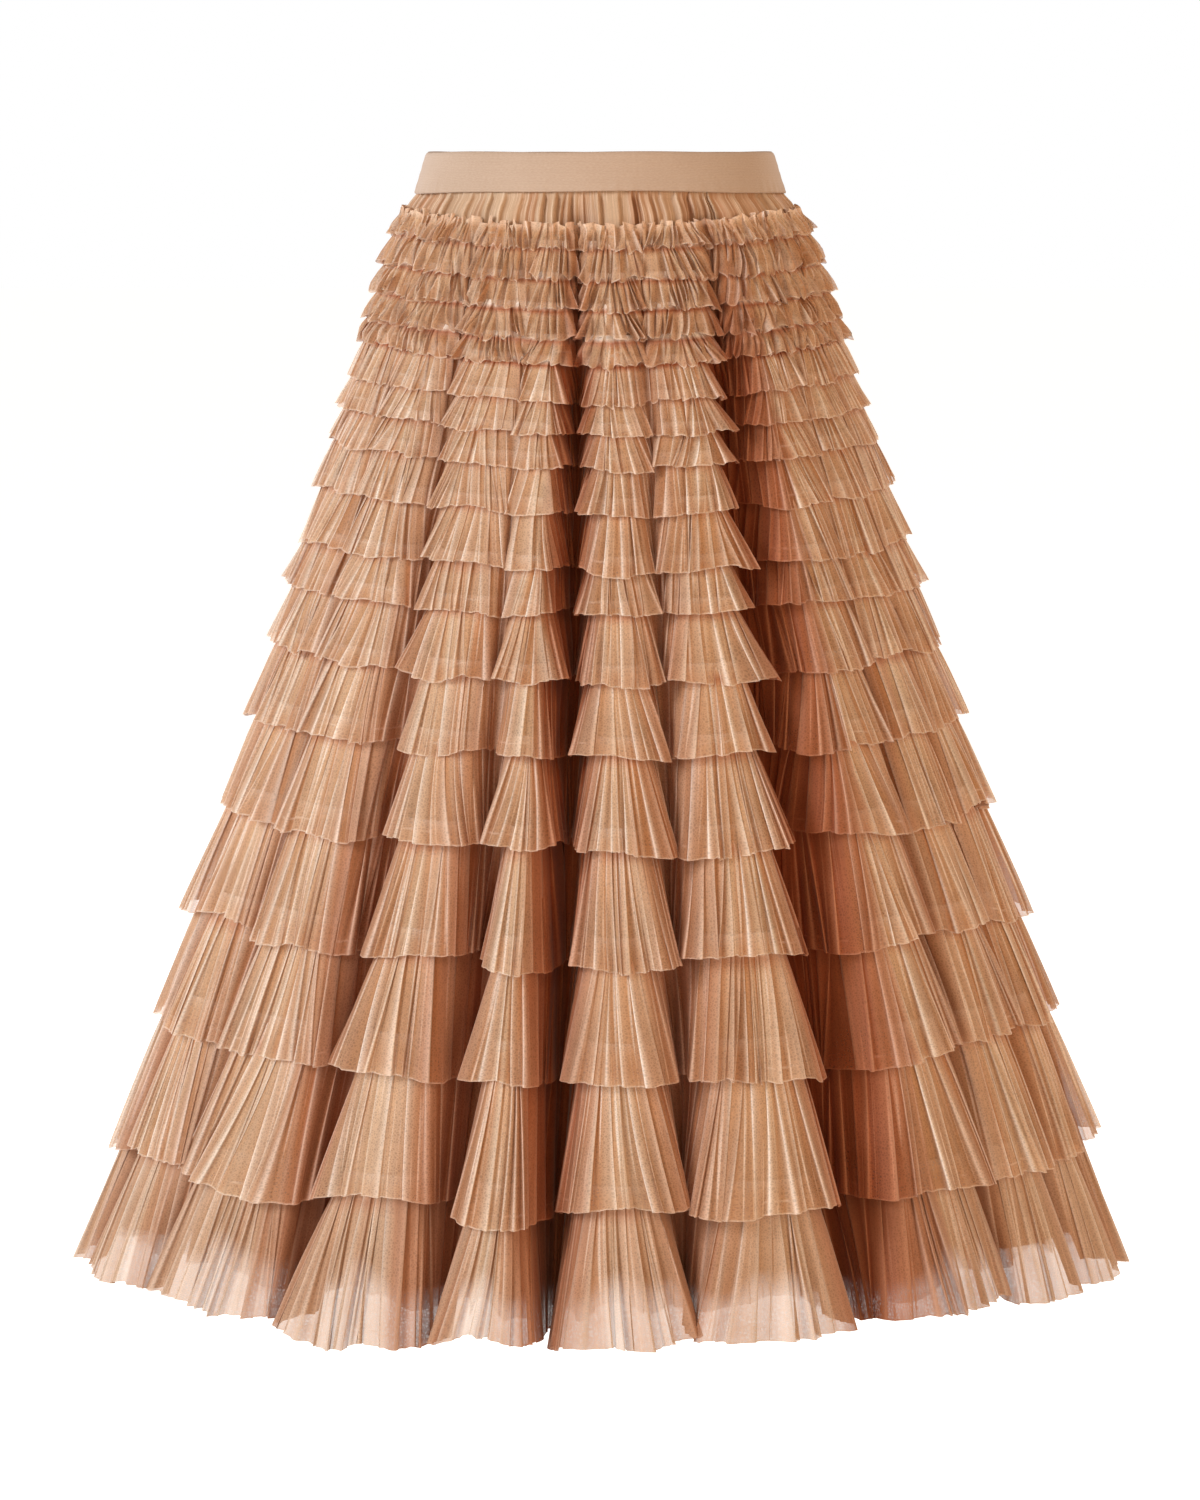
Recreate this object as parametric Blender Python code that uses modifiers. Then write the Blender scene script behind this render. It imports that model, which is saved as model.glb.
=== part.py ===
"""Tiered ruffle skirt: elastic waistband, fluted base skirt and eighteen gathered ruffles.

Metres, +Z up, front towards -Y. The origin is the centre of the waistband's opening.
Every piece is a thin wall on its own surface, open at the waist and at the hem.
"""
import math
from collections import namedtuple

import bmesh
import bpy

for thing in list(bpy.data.objects):
    bpy.data.objects.remove(thing, do_unlink=True)

# ---- cloth and seams -------------------------------------------------------------------
CLOTH = 0.0012          # wall of every gathered cloth piece
ELASTIC = 0.0020        # wall of the waistband
SEAM_OFFSET = 0.0019    # a ruffle's mid surface from the base skirt's at the seam
EDGE_OFFSET = 0.0032    # the same at the free edge on the walls of the folds, to which
EDGE_SHARE = 0.36       # this share of the crowns' flare is added

# ---- waistband: height, outer half width at each level ----------------------------------
BandLevel = namedtuple("BandLevel", "height half_width")
BAND_LEVELS = [
    BandLevel(0.0145, 0.1194),
    BandLevel(0.0115, 0.1212),
    BandLevel(-0.0141, 0.1287),
]
BAND_COLUMNS = 48
WAIST_RATIO = 0.78      # half depth over half width at the waist

# ---- base skirt: sections from the waist to its hem -------------------------------------
# half_width and half_depth reach the crowns between folds, lean moves the section to +X,
# oval is 1 for a true oval and less where the sides draw out to a point; fold_depth and
# mouth are the full depth and the half opening of a fold whose share is 1.
Section = namedtuple("Section", "height half_width half_depth lean oval fold_depth mouth")
SECTIONS = [
    Section(-0.0060, 0.1231, 0.0953, 0.0000, 1.00, 0.0000, 0.0085),
    Section(-0.0160, 0.1256, 0.0973, 0.0000, 1.00, 0.0010, 0.0094),
    Section(-0.0240, 0.1325, 0.1030, 0.0005, 0.98, 0.0045, 0.0104),
    Section(-0.0360, 0.1364, 0.1064, 0.0010, 0.95, 0.0085, 0.0112),
    Section(-0.0520, 0.1416, 0.1108, 0.0015, 0.92, 0.0125, 0.0121),
    Section(-0.0720, 0.1480, 0.1162, 0.0018, 0.88, 0.0170, 0.0131),
    Section(-0.1000, 0.1567, 0.1232, 0.0020, 0.84, 0.0225, 0.0144),
    Section(-0.1450, 0.1706, 0.1348, 0.0024, 0.80, 0.0295, 0.0160),
    Section(-0.2100, 0.1910, 0.1519, 0.0030, 0.75, 0.0370, 0.0177),
    Section(-0.2900, 0.2142, 0.1714, 0.0035, 0.70, 0.0440, 0.0194),
    Section(-0.3350, 0.2279, 0.1830, 0.0038, 0.68, 0.0473, 0.0201),
    Section(-0.3800, 0.2415, 0.1946, 0.0042, 0.66, 0.0505, 0.0208),
    Section(-0.4350, 0.2588, 0.2091, 0.0044, 0.63, 0.0535, 0.0214),
    Section(-0.4900, 0.2760, 0.2236, 0.0045, 0.60, 0.0565, 0.0220),
    Section(-0.6100, 0.3130, 0.2530, 0.0040, 0.54, 0.0615, 0.0231),
    Section(-0.6700, 0.3312, 0.2675, 0.0028, 0.49, 0.0635, 0.0236),
    Section(-0.7340, 0.3505, 0.2830, 0.0015, 0.44, 0.0655, 0.0240),
]
CROWN_ROUNDING = 0.14   # a crown's shoulders sit in by this share of the fold depth

# ---- lengthwise folds, round from the centre front towards +X ---------------------------
Fold = namedtuple("Fold", "bearing depth width")
FOLDS = [
    Fold(-6.5, 1.30, 0.85),
    Fold(10.0, 0.80, 0.90),
    Fold(31.0, 1.25, 1.10),
    Fold(51.0, 0.50, 0.72),
    Fold(66.0, 0.42, 0.62),
    Fold(81.0, 0.46, 0.62),
    Fold(98.0, 0.62, 0.70),
    Fold(116.0, 1.05, 0.95),
    Fold(134.0, 0.65, 0.75),
    Fold(152.0, 1.15, 1.00),
    Fold(170.0, 0.70, 0.75),
    Fold(188.0, 1.05, 0.95),
    Fold(207.0, 0.68, 0.75),
    Fold(225.0, 1.15, 1.00),
    Fold(243.0, 0.55, 0.70),
    Fold(261.0, 0.50, 0.68),
    Fold(281.0, 0.46, 0.68),
    Fold(302.0, 0.48, 0.70),
    Fold(323.0, 0.88, 0.88),
    Fold(341.0, 0.95, 0.82),
]

# Only the deepest folds reach up to the waist whole; the others grow down from it.
CALM_TOP = -0.0360      # above this height a lesser fold keeps CALM_SHARE of its depth
CALM_END = -0.4900      # below this height it has all of it
CALM_SHARE = 0.35
LESSER_DEPTH = 0.95     # folds up to this depth are lesser ones
DEEPEST_DEPTH = 1.15    # folds from this depth on are whole all the way up

# ---- ruffles from the top: heights at the side seams, droop at centre front and back ----
# flare is how far the free edge's crowns hang off the base skirt, wave the rise and fall
# of every other crown.
Ruffle = namedtuple("Ruffle", "seam edge droop flare wave")
RUFFLES = [
    Ruffle(-0.0240, -0.0407, 0.0080, 0.0056, 0.0004),
    Ruffle(-0.0351, -0.0621, 0.0080, 0.0058, 0.0005),
    Ruffle(-0.0565, -0.0814, 0.0080, 0.0060, 0.0006),
    Ruffle(-0.0759, -0.0994, 0.0090, 0.0062, 0.0006),
    Ruffle(-0.0939, -0.1140, 0.0120, 0.0066, 0.0008),
    Ruffle(-0.1071, -0.1383, 0.0130, 0.0074, 0.0012),
    Ruffle(-0.1314, -0.1605, 0.0120, 0.0077, 0.0014),
    Ruffle(-0.1536, -0.1835, 0.0110, 0.0078, 0.0015),
    Ruffle(-0.1744, -0.2149, 0.0100, 0.0082, 0.0016),
    Ruffle(-0.2058, -0.2533, 0.0080, 0.0086, 0.0018),
    Ruffle(-0.2442, -0.2834, 0.0080, 0.0090, 0.0018),
    Ruffle(-0.2729, -0.3261, 0.0080, 0.0100, 0.0022),
    Ruffle(-0.3149, -0.3761, 0.0090, 0.0104, 0.0025),
    Ruffle(-0.3620, -0.4382, 0.0085, 0.0108, 0.0028),
    Ruffle(-0.4226, -0.5125, 0.0070, 0.0112, 0.0030),
    Ruffle(-0.4948, -0.5872, 0.0060, 0.0116, 0.0030),
    Ruffle(-0.5673, -0.6795, 0.0015, 0.0120, 0.0030),
    Ruffle(-0.6608, -0.7645, 0.0000, 0.0122, 0.0030),
]
SHOULDER_SPREAD = 0.70  # a crown's shoulders close this share of the fold's mouth

# ---- colours, linear ---------------------------------------------------------------------
BAND_COLOUR = (0.624, 0.413, 0.279, 1.0)
BASE_COLOUR = (0.515, 0.292, 0.171, 1.0)
RUFFLE_COLOUR = (0.546, 0.319, 0.195, 1.0)
CLOTH_ROUGHNESS = 0.65
BAND_ROUGHNESS = 0.80

skirt = bpy.data.collections.new("tiered_ruffle_skirt")
bpy.context.scene.collection.children.link(skirt)


def cloth_material(name, colour, roughness):
    material = bpy.data.materials.new(name)
    material.use_nodes = True
    shader = material.node_tree.nodes["Principled BSDF"]
    shader.inputs["Base Color"].default_value = colour
    shader.inputs["Roughness"].default_value = roughness
    shader.inputs["Metallic"].default_value = 0.0
    material.diffuse_color = colour
    return material


def section_at(height):
    """Base skirt section at any height, straight between the table's rows."""
    for upper, lower in zip(SECTIONS, SECTIONS[1:]):
        if height >= lower.height:
            break
    share = (upper.height - height) / (upper.height - lower.height)
    values = [above + share * (below - above) for above, below in zip(upper, lower)]
    return Section(*values)


def oval_point(section, bearing):
    """Point of the section's outline; the front and back draw in beside the centre."""
    turn = math.cos(bearing)
    reach = section.oval * turn + (1.0 - section.oval) * turn * abs(turn)
    return section.lean + section.half_width * math.sin(bearing), -section.half_depth * reach


def oval_along(section, bearing):
    """Change of the outline's point for each radian of bearing."""
    turn = abs(math.cos(bearing))
    reach = (section.oval + 2.0 * (1.0 - section.oval) * turn) * math.sin(bearing)
    return section.half_width * math.cos(bearing), section.half_depth * reach


Column = namedtuple("Column", "kind fold next_fold")
COLUMNS = []
for number, fold in enumerate(FOLDS):
    after = FOLDS[(number + 1) % len(FOLDS)]
    COLUMNS.append(Column("bottom", fold, after))
    COLUMNS.append(Column("right", fold, after))
    COLUMNS.append(Column("crown", fold, after))
    COLUMNS.append(Column("left", fold, after))


def column_bearing(column, section):
    """Bearing of a column: fold bottom, crown middle, or the shoulder beside a fold."""
    here = math.radians(column.fold.bearing)
    there = math.radians(column.next_fold.bearing)
    if there < here:
        there += 2.0 * math.pi
    if column.kind == "bottom":
        return here
    if column.kind == "crown":
        return 0.5 * (here + there)
    if column.kind == "right":
        stretch = math.hypot(*oval_along(section, here))
        return here + section.mouth * column.fold.width / stretch
    stretch = math.hypot(*oval_along(section, there))
    return there - section.mouth * column.next_fold.width / stretch


def share_of_range(value, start, end):
    return min(max((value - start) / (end - start), 0.0), 1.0)


def fold_share(fold, height):
    """Depth share of a fold at a height."""
    grown = share_of_range(height, CALM_TOP, CALM_END)
    calm = CALM_SHARE + (1.0 - CALM_SHARE) * grown
    deepest = share_of_range(fold.depth, LESSER_DEPTH, DEEPEST_DEPTH)
    return fold.depth * (calm + (1.0 - calm) * deepest)


def base_point(column, height, outwards=0.0, sideways=0.0):
    """A point of the base skirt's column, moved out and towards the nearest fold."""
    section = section_at(height)
    bearing = column_bearing(column, section)
    x, y = oval_point(section, bearing)
    along_x, along_y = oval_along(section, bearing)
    stretch = math.hypot(along_x, along_y)
    along_x /= stretch
    along_y /= stretch
    inset = 0.0
    side = 0.0
    if column.kind == "bottom":
        inset = section.fold_depth * fold_share(column.fold, height)
    elif column.kind == "right":
        inset = CROWN_ROUNDING * section.fold_depth * fold_share(column.fold, height)
        side = -sideways
    elif column.kind == "left":
        inset = CROWN_ROUNDING * section.fold_depth * fold_share(column.next_fold, height)
        side = sideways
    move = outwards - inset
    return (x + along_y * move + along_x * side, y - along_x * move + along_y * side, height)


def fold_mouth(column, height):
    section = section_at(height)
    if column.kind == "left":
        return section.mouth * column.next_fold.width
    return section.mouth * column.fold.width


def seam_move(column, height):
    """How far out a seam point goes so that the wall beside it stays SEAM_OFFSET away."""
    if column.kind != "bottom":
        return SEAM_OFFSET
    section = section_at(height)
    depth = section.fold_depth * fold_share(column.fold, height) * (1.0 - CROWN_ROUNDING)
    mouth = section.mouth * column.fold.width
    return SEAM_OFFSET * math.hypot(depth, mouth) / mouth


def drooped(height, droop, column):
    bearing = column_bearing(column, section_at(height))
    return height - droop * math.cos(bearing) ** 2


def seam_ring(ruffle):
    ring = []
    for column in COLUMNS:
        height = drooped(ruffle.seam, ruffle.droop, column)
        side = SEAM_OFFSET if column.kind in ("left", "right") else 0.0
        ring.append(base_point(column, height, seam_move(column, height), side))
    return ring


def edge_ring(ruffle, first_wave):
    """Free edge: crowns flare out and rise and fall in turn, shoulders close the folds."""
    ring = []
    wall_offset = EDGE_OFFSET + EDGE_SHARE * ruffle.flare
    for index, column in enumerate(COLUMNS):
        height = drooped(ruffle.edge, ruffle.droop, column)
        side = max(SHOULDER_SPREAD * fold_mouth(column, height), wall_offset)
        if column.kind == "bottom":
            move = seam_move(column, height) * wall_offset / SEAM_OFFSET
        elif column.kind == "crown":
            turn = 1.0 if (index // 4 + first_wave) % 2 == 0 else -1.0
            move = ruffle.flare + turn * ruffle.wave
        else:
            move = ruffle.flare
        ring.append(base_point(column, height, move, side))
    return ring


def base_ring(height):
    return [base_point(column, height) for column in COLUMNS]


def band_ring(level):
    width = level.half_width - 0.5 * ELASTIC
    depth = level.half_width * WAIST_RATIO - 0.5 * ELASTIC
    ring = []
    for step in range(BAND_COLUMNS):
        bearing = 2.0 * math.pi * step / BAND_COLUMNS
        ring.append((width * math.sin(bearing), -depth * math.cos(bearing), level.height))
    return ring


def wall_object(name, rings, thickness, material):
    """Open surface through the rings, top to bottom, given its wall by a Solidify."""
    shape = bmesh.new()
    rows = [[shape.verts.new(point) for point in ring] for ring in rings]
    count = len(rings[0])
    for upper, lower in zip(rows, rows[1:]):
        for step in range(count):
            after = (step + 1) % count
            face = shape.faces.new((upper[step], lower[step], lower[after], upper[after]))
            face.smooth = True
    mesh = bpy.data.meshes.new(name)
    shape.to_mesh(mesh)
    shape.free()
    mesh.materials.append(material)
    piece = bpy.data.objects.new(name, mesh)
    skirt.objects.link(piece)
    wall = piece.modifiers.new("wall", "SOLIDIFY")
    wall.thickness = thickness
    wall.offset = 0.0
    wall.use_even_offset = True
    return piece


band_cloth = cloth_material("knitted_elastic", BAND_COLOUR, BAND_ROUGHNESS)
base_cloth = cloth_material("base_tulle", BASE_COLOUR, CLOTH_ROUGHNESS)

wall_object("waistband", [band_ring(level) for level in BAND_LEVELS], ELASTIC, band_cloth)
wall_object("base_skirt", [base_ring(row.height) for row in SECTIONS], CLOTH, base_cloth)

for number, ruffle in enumerate(RUFFLES, start=1):
    label = "ruffle_%02d" % number
    ruffle_cloth = cloth_material(label + "_tulle", RUFFLE_COLOUR, CLOTH_ROUGHNESS)
    rings = [seam_ring(ruffle), edge_ring(ruffle, number)]
    wall_object(label, rings, CLOTH, ruffle_cloth)
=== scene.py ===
# %% [markdown]
# # A tiered ruffle skirt
# The skirt is a smooth elastic waistband, a gathered base skirt and eighteen gathered
# strips of tulle sewn round the base, small at the waist and deep at the hem. It stands
# open, as if worn, so every piece is a thin tube of cloth round an empty middle.

# %% Load the frame
import math

import bmesh
import bpy
import numpy as np
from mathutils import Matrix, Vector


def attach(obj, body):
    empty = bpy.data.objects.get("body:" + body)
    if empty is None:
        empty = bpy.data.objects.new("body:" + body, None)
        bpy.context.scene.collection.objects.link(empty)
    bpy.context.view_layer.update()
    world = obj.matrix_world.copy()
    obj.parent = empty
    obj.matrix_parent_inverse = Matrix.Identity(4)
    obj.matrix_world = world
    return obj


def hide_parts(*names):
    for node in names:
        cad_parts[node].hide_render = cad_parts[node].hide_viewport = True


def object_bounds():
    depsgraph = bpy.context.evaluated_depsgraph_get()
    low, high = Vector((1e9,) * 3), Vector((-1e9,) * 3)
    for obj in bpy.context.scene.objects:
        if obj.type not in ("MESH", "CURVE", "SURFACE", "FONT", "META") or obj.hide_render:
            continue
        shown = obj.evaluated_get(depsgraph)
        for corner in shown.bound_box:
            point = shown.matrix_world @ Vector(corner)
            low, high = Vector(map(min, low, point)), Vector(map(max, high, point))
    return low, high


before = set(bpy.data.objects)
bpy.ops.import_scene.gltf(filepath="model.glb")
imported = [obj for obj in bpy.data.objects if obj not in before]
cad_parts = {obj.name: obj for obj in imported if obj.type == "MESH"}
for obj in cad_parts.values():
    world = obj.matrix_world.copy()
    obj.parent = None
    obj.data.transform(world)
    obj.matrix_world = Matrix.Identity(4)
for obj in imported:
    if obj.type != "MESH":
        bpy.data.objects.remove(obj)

cad_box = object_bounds()
print("solids:", len(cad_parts), "box:", [tuple(round(v, 3) for v in c) for c in cad_box])

# %% [markdown]
# ## The camera
# The skirt is seen straight from the front by a long lens a little above the waist, so
# the band looks almost straight and the hem bows down. The camera stands seven times as
# far off as the skirt is deep, which keeps the perspective gentle. The picture is 1200 by
# 1500 points.

# %% Camera
PICTURE = (1200, 1500)
SENSOR_WIDTH = 36.0          # mm
CAMERA_DISTANCE = 4.18
CAMERA_HEIGHT = 0.1145       # above the middle of the waistband
CAMERA_PITCH = math.radians(7.0556)
FOCAL_POINTS = 6017.0        # focal length, in points of the picture

lens = bpy.data.cameras.new("studio_camera")
lens.sensor_fit = "AUTO"
lens.sensor_width = SENSOR_WIDTH
lens.lens = FOCAL_POINTS / PICTURE[1] * lens.sensor_width
lens.clip_end = 60.0
camera = bpy.data.objects.new("studio_camera", lens)
camera.location = (0.0, -CAMERA_DISTANCE, CAMERA_HEIGHT)
camera.rotation_euler = (math.pi / 2 - CAMERA_PITCH, 0.0, 0.0)
bpy.context.scene.collection.objects.link(camera)
bpy.context.scene.camera = camera
print("lens", round(lens.lens, 1), "mm")

# %% [markdown]
# ## Floor and light
# The studio is all white: a pale floor below the hem that runs far back, a white sky
# that lights the folds evenly, and a large soft lamp at the front left, which leaves the
# right flank of every fan a little darker. A weaker one at the right and two behind keep
# the other sides as clear.

# %% Helpers for colour and nodes
def linear(code):
    """An sRGB hex colour as linear red, green, blue and alpha."""
    parts = [int(code[i:i + 2], 16) / 255.0 for i in (1, 3, 5)]
    curve = [p / 12.92 if p <= 0.04045 else ((p + 0.055) / 1.055) ** 2.4 for p in parts]
    return (*curve, 1.0)


def node(tree, kind, settings=None, **links):
    """Add a node. Settings go on its properties; links are values or sockets for its
    inputs, by name, or by number as i0, i1 and so on."""
    made = tree.nodes.new(kind)
    for key, value in (settings or {}).items():
        setattr(made, key, value)
    for key, value in links.items():
        numbered = key[0] == "i" and key[1:].isdigit()
        slot = made.inputs[int(key[1:]) if numbered else key.replace("_", " ")]
        if isinstance(value, bpy.types.NodeSocket):
            tree.links.new(value, slot)
        else:
            slot.default_value = value
    return made


print("white is", linear("#ffffff")[:3])

# %% Studio
FLOOR_DROP = 0.25        # the floor lies this far below the hem
FLOOR_HALF = 14.0        # half of its side
FLOOR_BACK = 6.0         # its middle lies this far behind the skirt
PAPER_LIGHT = 0.05       # the paper's own glow, as a light on the cloth
PAPER_SEEN = 0.70        # and as it is seen
SKY_LIGHT = 0.46         # the white round the set, as a light
SKIRT_MIDDLE = (0.0, 0.0, -0.45)

floor_shape = bmesh.new()
bmesh.ops.create_grid(floor_shape, x_segments=1, y_segments=1, size=FLOOR_HALF)
floor_place = (0.0, FLOOR_BACK, cad_box[0][2] - FLOOR_DROP)
bmesh.ops.translate(floor_shape, verts=floor_shape.verts, vec=floor_place)
floor_mesh = bpy.data.meshes.new("floor")
floor_shape.to_mesh(floor_mesh)
floor_shape.free()
floor = bpy.data.objects.new("floor", floor_mesh)
bpy.context.scene.collection.objects.link(floor)
# matt white background paper, which glows where it is seen, so it shows no edge or shadow
paper = bpy.data.materials.new("white_paper_sweep")
paper.use_nodes = True
paper_tree = paper.node_tree
paper_surface = paper_tree.nodes["Principled BSDF"]
paper_surface.inputs["Base Color"].default_value = linear("#f4f3f1")
paper_surface.inputs["Roughness"].default_value = 0.9
paper_surface.inputs["Emission Color"].default_value = linear("#ffffff")
seen = node(paper_tree, "ShaderNodeLightPath").outputs["Is Camera Ray"]
glow = node(paper_tree, "ShaderNodeMapRange", i0=seen, i1=0.0, i2=1.0, i3=PAPER_LIGHT, i4=PAPER_SEEN)
paper_tree.links.new(glow.outputs[0], paper_surface.inputs["Emission Strength"])
floor_mesh.materials.append(paper)

sky = bpy.data.worlds.new("white_studio")
sky.use_nodes = True
sky_tree = sky.node_tree
seen = node(sky_tree, "ShaderNodeLightPath").outputs["Is Camera Ray"]
shine = node(sky_tree, "ShaderNodeMapRange", i0=seen, i1=0.0, i2=1.0, i3=SKY_LIGHT, i4=1.0)
sky_colour = node(sky_tree, "ShaderNodeMix", {"data_type": "RGBA"}, i0=seen,
                  i6=linear("#ffeddb"), i7=linear("#ffffff"))     # a warm light, a white backdrop
sky_tree.links.new(sky_colour.outputs[2], sky_tree.nodes["Background"].inputs["Color"])
sky_tree.links.new(shine.outputs[0], sky_tree.nodes["Background"].inputs["Strength"])
bpy.context.scene.world = sky
bpy.context.scene.view_settings.view_transform = "Standard"


def soft_lamp(name, place, aim, size, power, colour):
    """A square area lamp at place, turned towards aim."""
    lamp = bpy.data.lights.new(name, "AREA")
    lamp.shape = "SQUARE"
    lamp.size = size
    lamp.energy = power
    lamp.color = linear(colour)[:3]
    holder = bpy.data.objects.new(name, lamp)
    holder.location = place
    way = [a - p for a, p in zip(aim, place)]
    flat = math.hypot(way[0], way[1])
    holder.rotation_euler = (math.atan2(flat, -way[2]), 0.0, math.atan2(way[0], -way[1]) + math.pi)
    bpy.context.scene.collection.objects.link(holder)
    return holder


soft_lamp("key_light", (-3.0, -2.5, 1.1), SKIRT_MIDDLE, 1.6, 139.0, "#e6f2ff")
soft_lamp("fill_light", (2.6, -2.4, 0.3), SKIRT_MIDDLE, 2.0, 42.0, "#ffddb8")
soft_lamp("left_back_light", (-2.8, 2.6, 0.9), SKIRT_MIDDLE, 1.6, 55.0, "#f2f6ff")
soft_lamp("right_back_light", (2.8, 2.8, 0.9), SKIRT_MIDDLE, 1.6, 40.0, "#fff6ee")

# %% [markdown]
# ## The skirt's form
# One small model gives every piece its shape. The body is a column of oval sections; at
# twenty bearings the cloth falls into deep lengthwise folds. Four guide columns mark
# each fold: its bottom, the shoulder to its right, the crown, and the next shoulder. A
# smooth curve through the guides gives any point between them, and a ruffle is the same
# surface moved out: hardly at its seam, most on the crowns of its free edge.

# %% Tables of the form
# height, half width, half depth, lean to +X, oval share, fold depth, half opening
SECTIONS = np.array([
    (-0.0060, 0.1231, 0.0953, 0.0000, 1.00, 0.0000, 0.0085),
    (-0.0160, 0.1256, 0.0973, 0.0000, 1.00, 0.0010, 0.0094),
    (-0.0240, 0.1325, 0.1030, 0.0005, 0.98, 0.0045, 0.0104),
    (-0.0360, 0.1364, 0.1064, 0.0010, 0.95, 0.0085, 0.0112),
    (-0.0520, 0.1416, 0.1108, 0.0015, 0.92, 0.0125, 0.0121),
    (-0.0720, 0.1480, 0.1162, 0.0018, 0.88, 0.0170, 0.0131),
    (-0.1000, 0.1567, 0.1232, 0.0020, 0.84, 0.0225, 0.0144),
    (-0.1450, 0.1706, 0.1348, 0.0024, 0.80, 0.0295, 0.0160),
    (-0.2100, 0.1910, 0.1519, 0.0030, 0.75, 0.0370, 0.0177),
    (-0.2900, 0.2142, 0.1714, 0.0035, 0.70, 0.0440, 0.0194),
    (-0.3350, 0.2279, 0.1830, 0.0038, 0.68, 0.0473, 0.0201),
    (-0.3800, 0.2415, 0.1946, 0.0042, 0.66, 0.0505, 0.0208),
    (-0.4350, 0.2588, 0.2091, 0.0044, 0.63, 0.0535, 0.0214),
    (-0.4900, 0.2760, 0.2236, 0.0045, 0.60, 0.0565, 0.0220),
    (-0.6100, 0.3130, 0.2530, 0.0040, 0.54, 0.0615, 0.0231),
    (-0.6700, 0.3312, 0.2675, 0.0028, 0.49, 0.0635, 0.0236),
    (-0.7340, 0.3505, 0.2830, 0.0015, 0.44, 0.0655, 0.0240),
])
# bearing in degrees from the centre front towards +X, share of depth, share of opening
FOLDS = np.array([
    (-6.5, 1.30, 0.85), (10.0, 0.80, 0.90), (31.0, 1.25, 1.10), (51.0, 0.50, 0.72),
    (66.0, 0.42, 0.62), (81.0, 0.46, 0.62), (98.0, 0.62, 0.70), (116.0, 1.05, 0.95),
    (134.0, 0.65, 0.75), (152.0, 1.15, 1.00), (170.0, 0.70, 0.75), (188.0, 1.05, 0.95),
    (207.0, 0.68, 0.75), (225.0, 1.15, 1.00), (243.0, 0.55, 0.70), (261.0, 0.50, 0.68),
    (281.0, 0.46, 0.68), (302.0, 0.48, 0.70), (323.0, 0.88, 0.88), (341.0, 0.95, 0.82),
])
# seam, free edge, droop at the centre, flare of the crowns, wave of the crowns
RUFFLES = [
    (-0.0240, -0.0407, 0.0080, 0.0056, 0.0004),
    (-0.0351, -0.0621, 0.0080, 0.0058, 0.0005),
    (-0.0565, -0.0814, 0.0080, 0.0060, 0.0006),
    (-0.0759, -0.0994, 0.0090, 0.0062, 0.0006),
    (-0.0939, -0.1140, 0.0120, 0.0066, 0.0008),
    (-0.1071, -0.1383, 0.0130, 0.0074, 0.0012),
    (-0.1314, -0.1605, 0.0120, 0.0077, 0.0014),
    (-0.1536, -0.1835, 0.0110, 0.0078, 0.0015),
    (-0.1744, -0.2149, 0.0100, 0.0082, 0.0016),
    (-0.2058, -0.2533, 0.0080, 0.0086, 0.0018),
    (-0.2442, -0.2834, 0.0080, 0.0090, 0.0018),
    (-0.2729, -0.3261, 0.0080, 0.0100, 0.0022),
    (-0.3149, -0.3761, 0.0090, 0.0104, 0.0025),
    (-0.3620, -0.4382, 0.0085, 0.0108, 0.0028),
    (-0.4226, -0.5125, 0.0070, 0.0112, 0.0030),
    (-0.4948, -0.5872, 0.0060, 0.0116, 0.0030),
    (-0.5673, -0.6795, 0.0015, 0.0120, 0.0030),
    (-0.6608, -0.7645, 0.0000, 0.0122, 0.0030),
]
RUFFLE_COUNT = len(RUFFLES)
FRILLS = 5                   # the first ruffles are narrow frills
beyond = SECTIONS[-1] + (SECTIONS[-1] - SECTIONS[-2]) * 0.6     # the last ruffle hangs lower
SECTIONS = np.vstack([SECTIONS, beyond])
GUIDES = 4 * len(FOLDS)      # guide columns round the skirt
CALM_TOP, CALM_END = 0.0800, 0.4900         # between these depths a lesser fold grows
CALM_SHARES = np.full(len(FOLDS), 0.15)     # from this share of its depth to all of it;
CALM_SHARES[1] = 0.45                       # two of them show from the first frill on
CALM_SHARES[18] = 0.40
CALM_SHARES[19] = 0.0                       # and one starts flat
DEEP_FROM, DEEP_RANGE = 0.95, 0.20          # a fold of a larger share counts as deep
CROWN_ROUNDING = 0.14        # shoulders sit in by this share of the fold's depth
SEAM_OFFSET = 0.0019         # a ruffle's cloth from the base's, at its seam
EDGE_OFFSET = 0.0032         # the same on the folds' walls at its free edge, to which
EDGE_SHARE = 0.36            # this share of the crowns' flare is added
SHOULDER_SPREAD = 0.58       # share of the opening that a free edge closes, on the mean,
DEEP_SPREAD = 0.20           # less this over the deepest folds, which stay wider open
PINCH = 0.30                 # at a seam an open fold is wider by this share of its opening
FLAP = 0.30                  # how far, by the opening, an edge's flaps stand out over it
BRIDGE = 0.60                # share of a calm fold's depth that a free edge spans
DRAW_IN = 0.30               # share of a calm fold's opening that its seam closes
FRILL_OPEN = 0.3             # a frill follows an open fold only by this share
print(len(RUFFLES), "ruffles,", len(FOLDS), "folds,", GUIDES, "guide columns")

# %% Guide columns
def section_at(height):
    """Half width, half depth, lean, oval, fold depth and opening at any height."""
    down = -np.asarray(height)
    return [np.interp(down, -SECTIONS[:, 0], SECTIONS[:, k]) for k in range(1, 7)]


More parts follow.
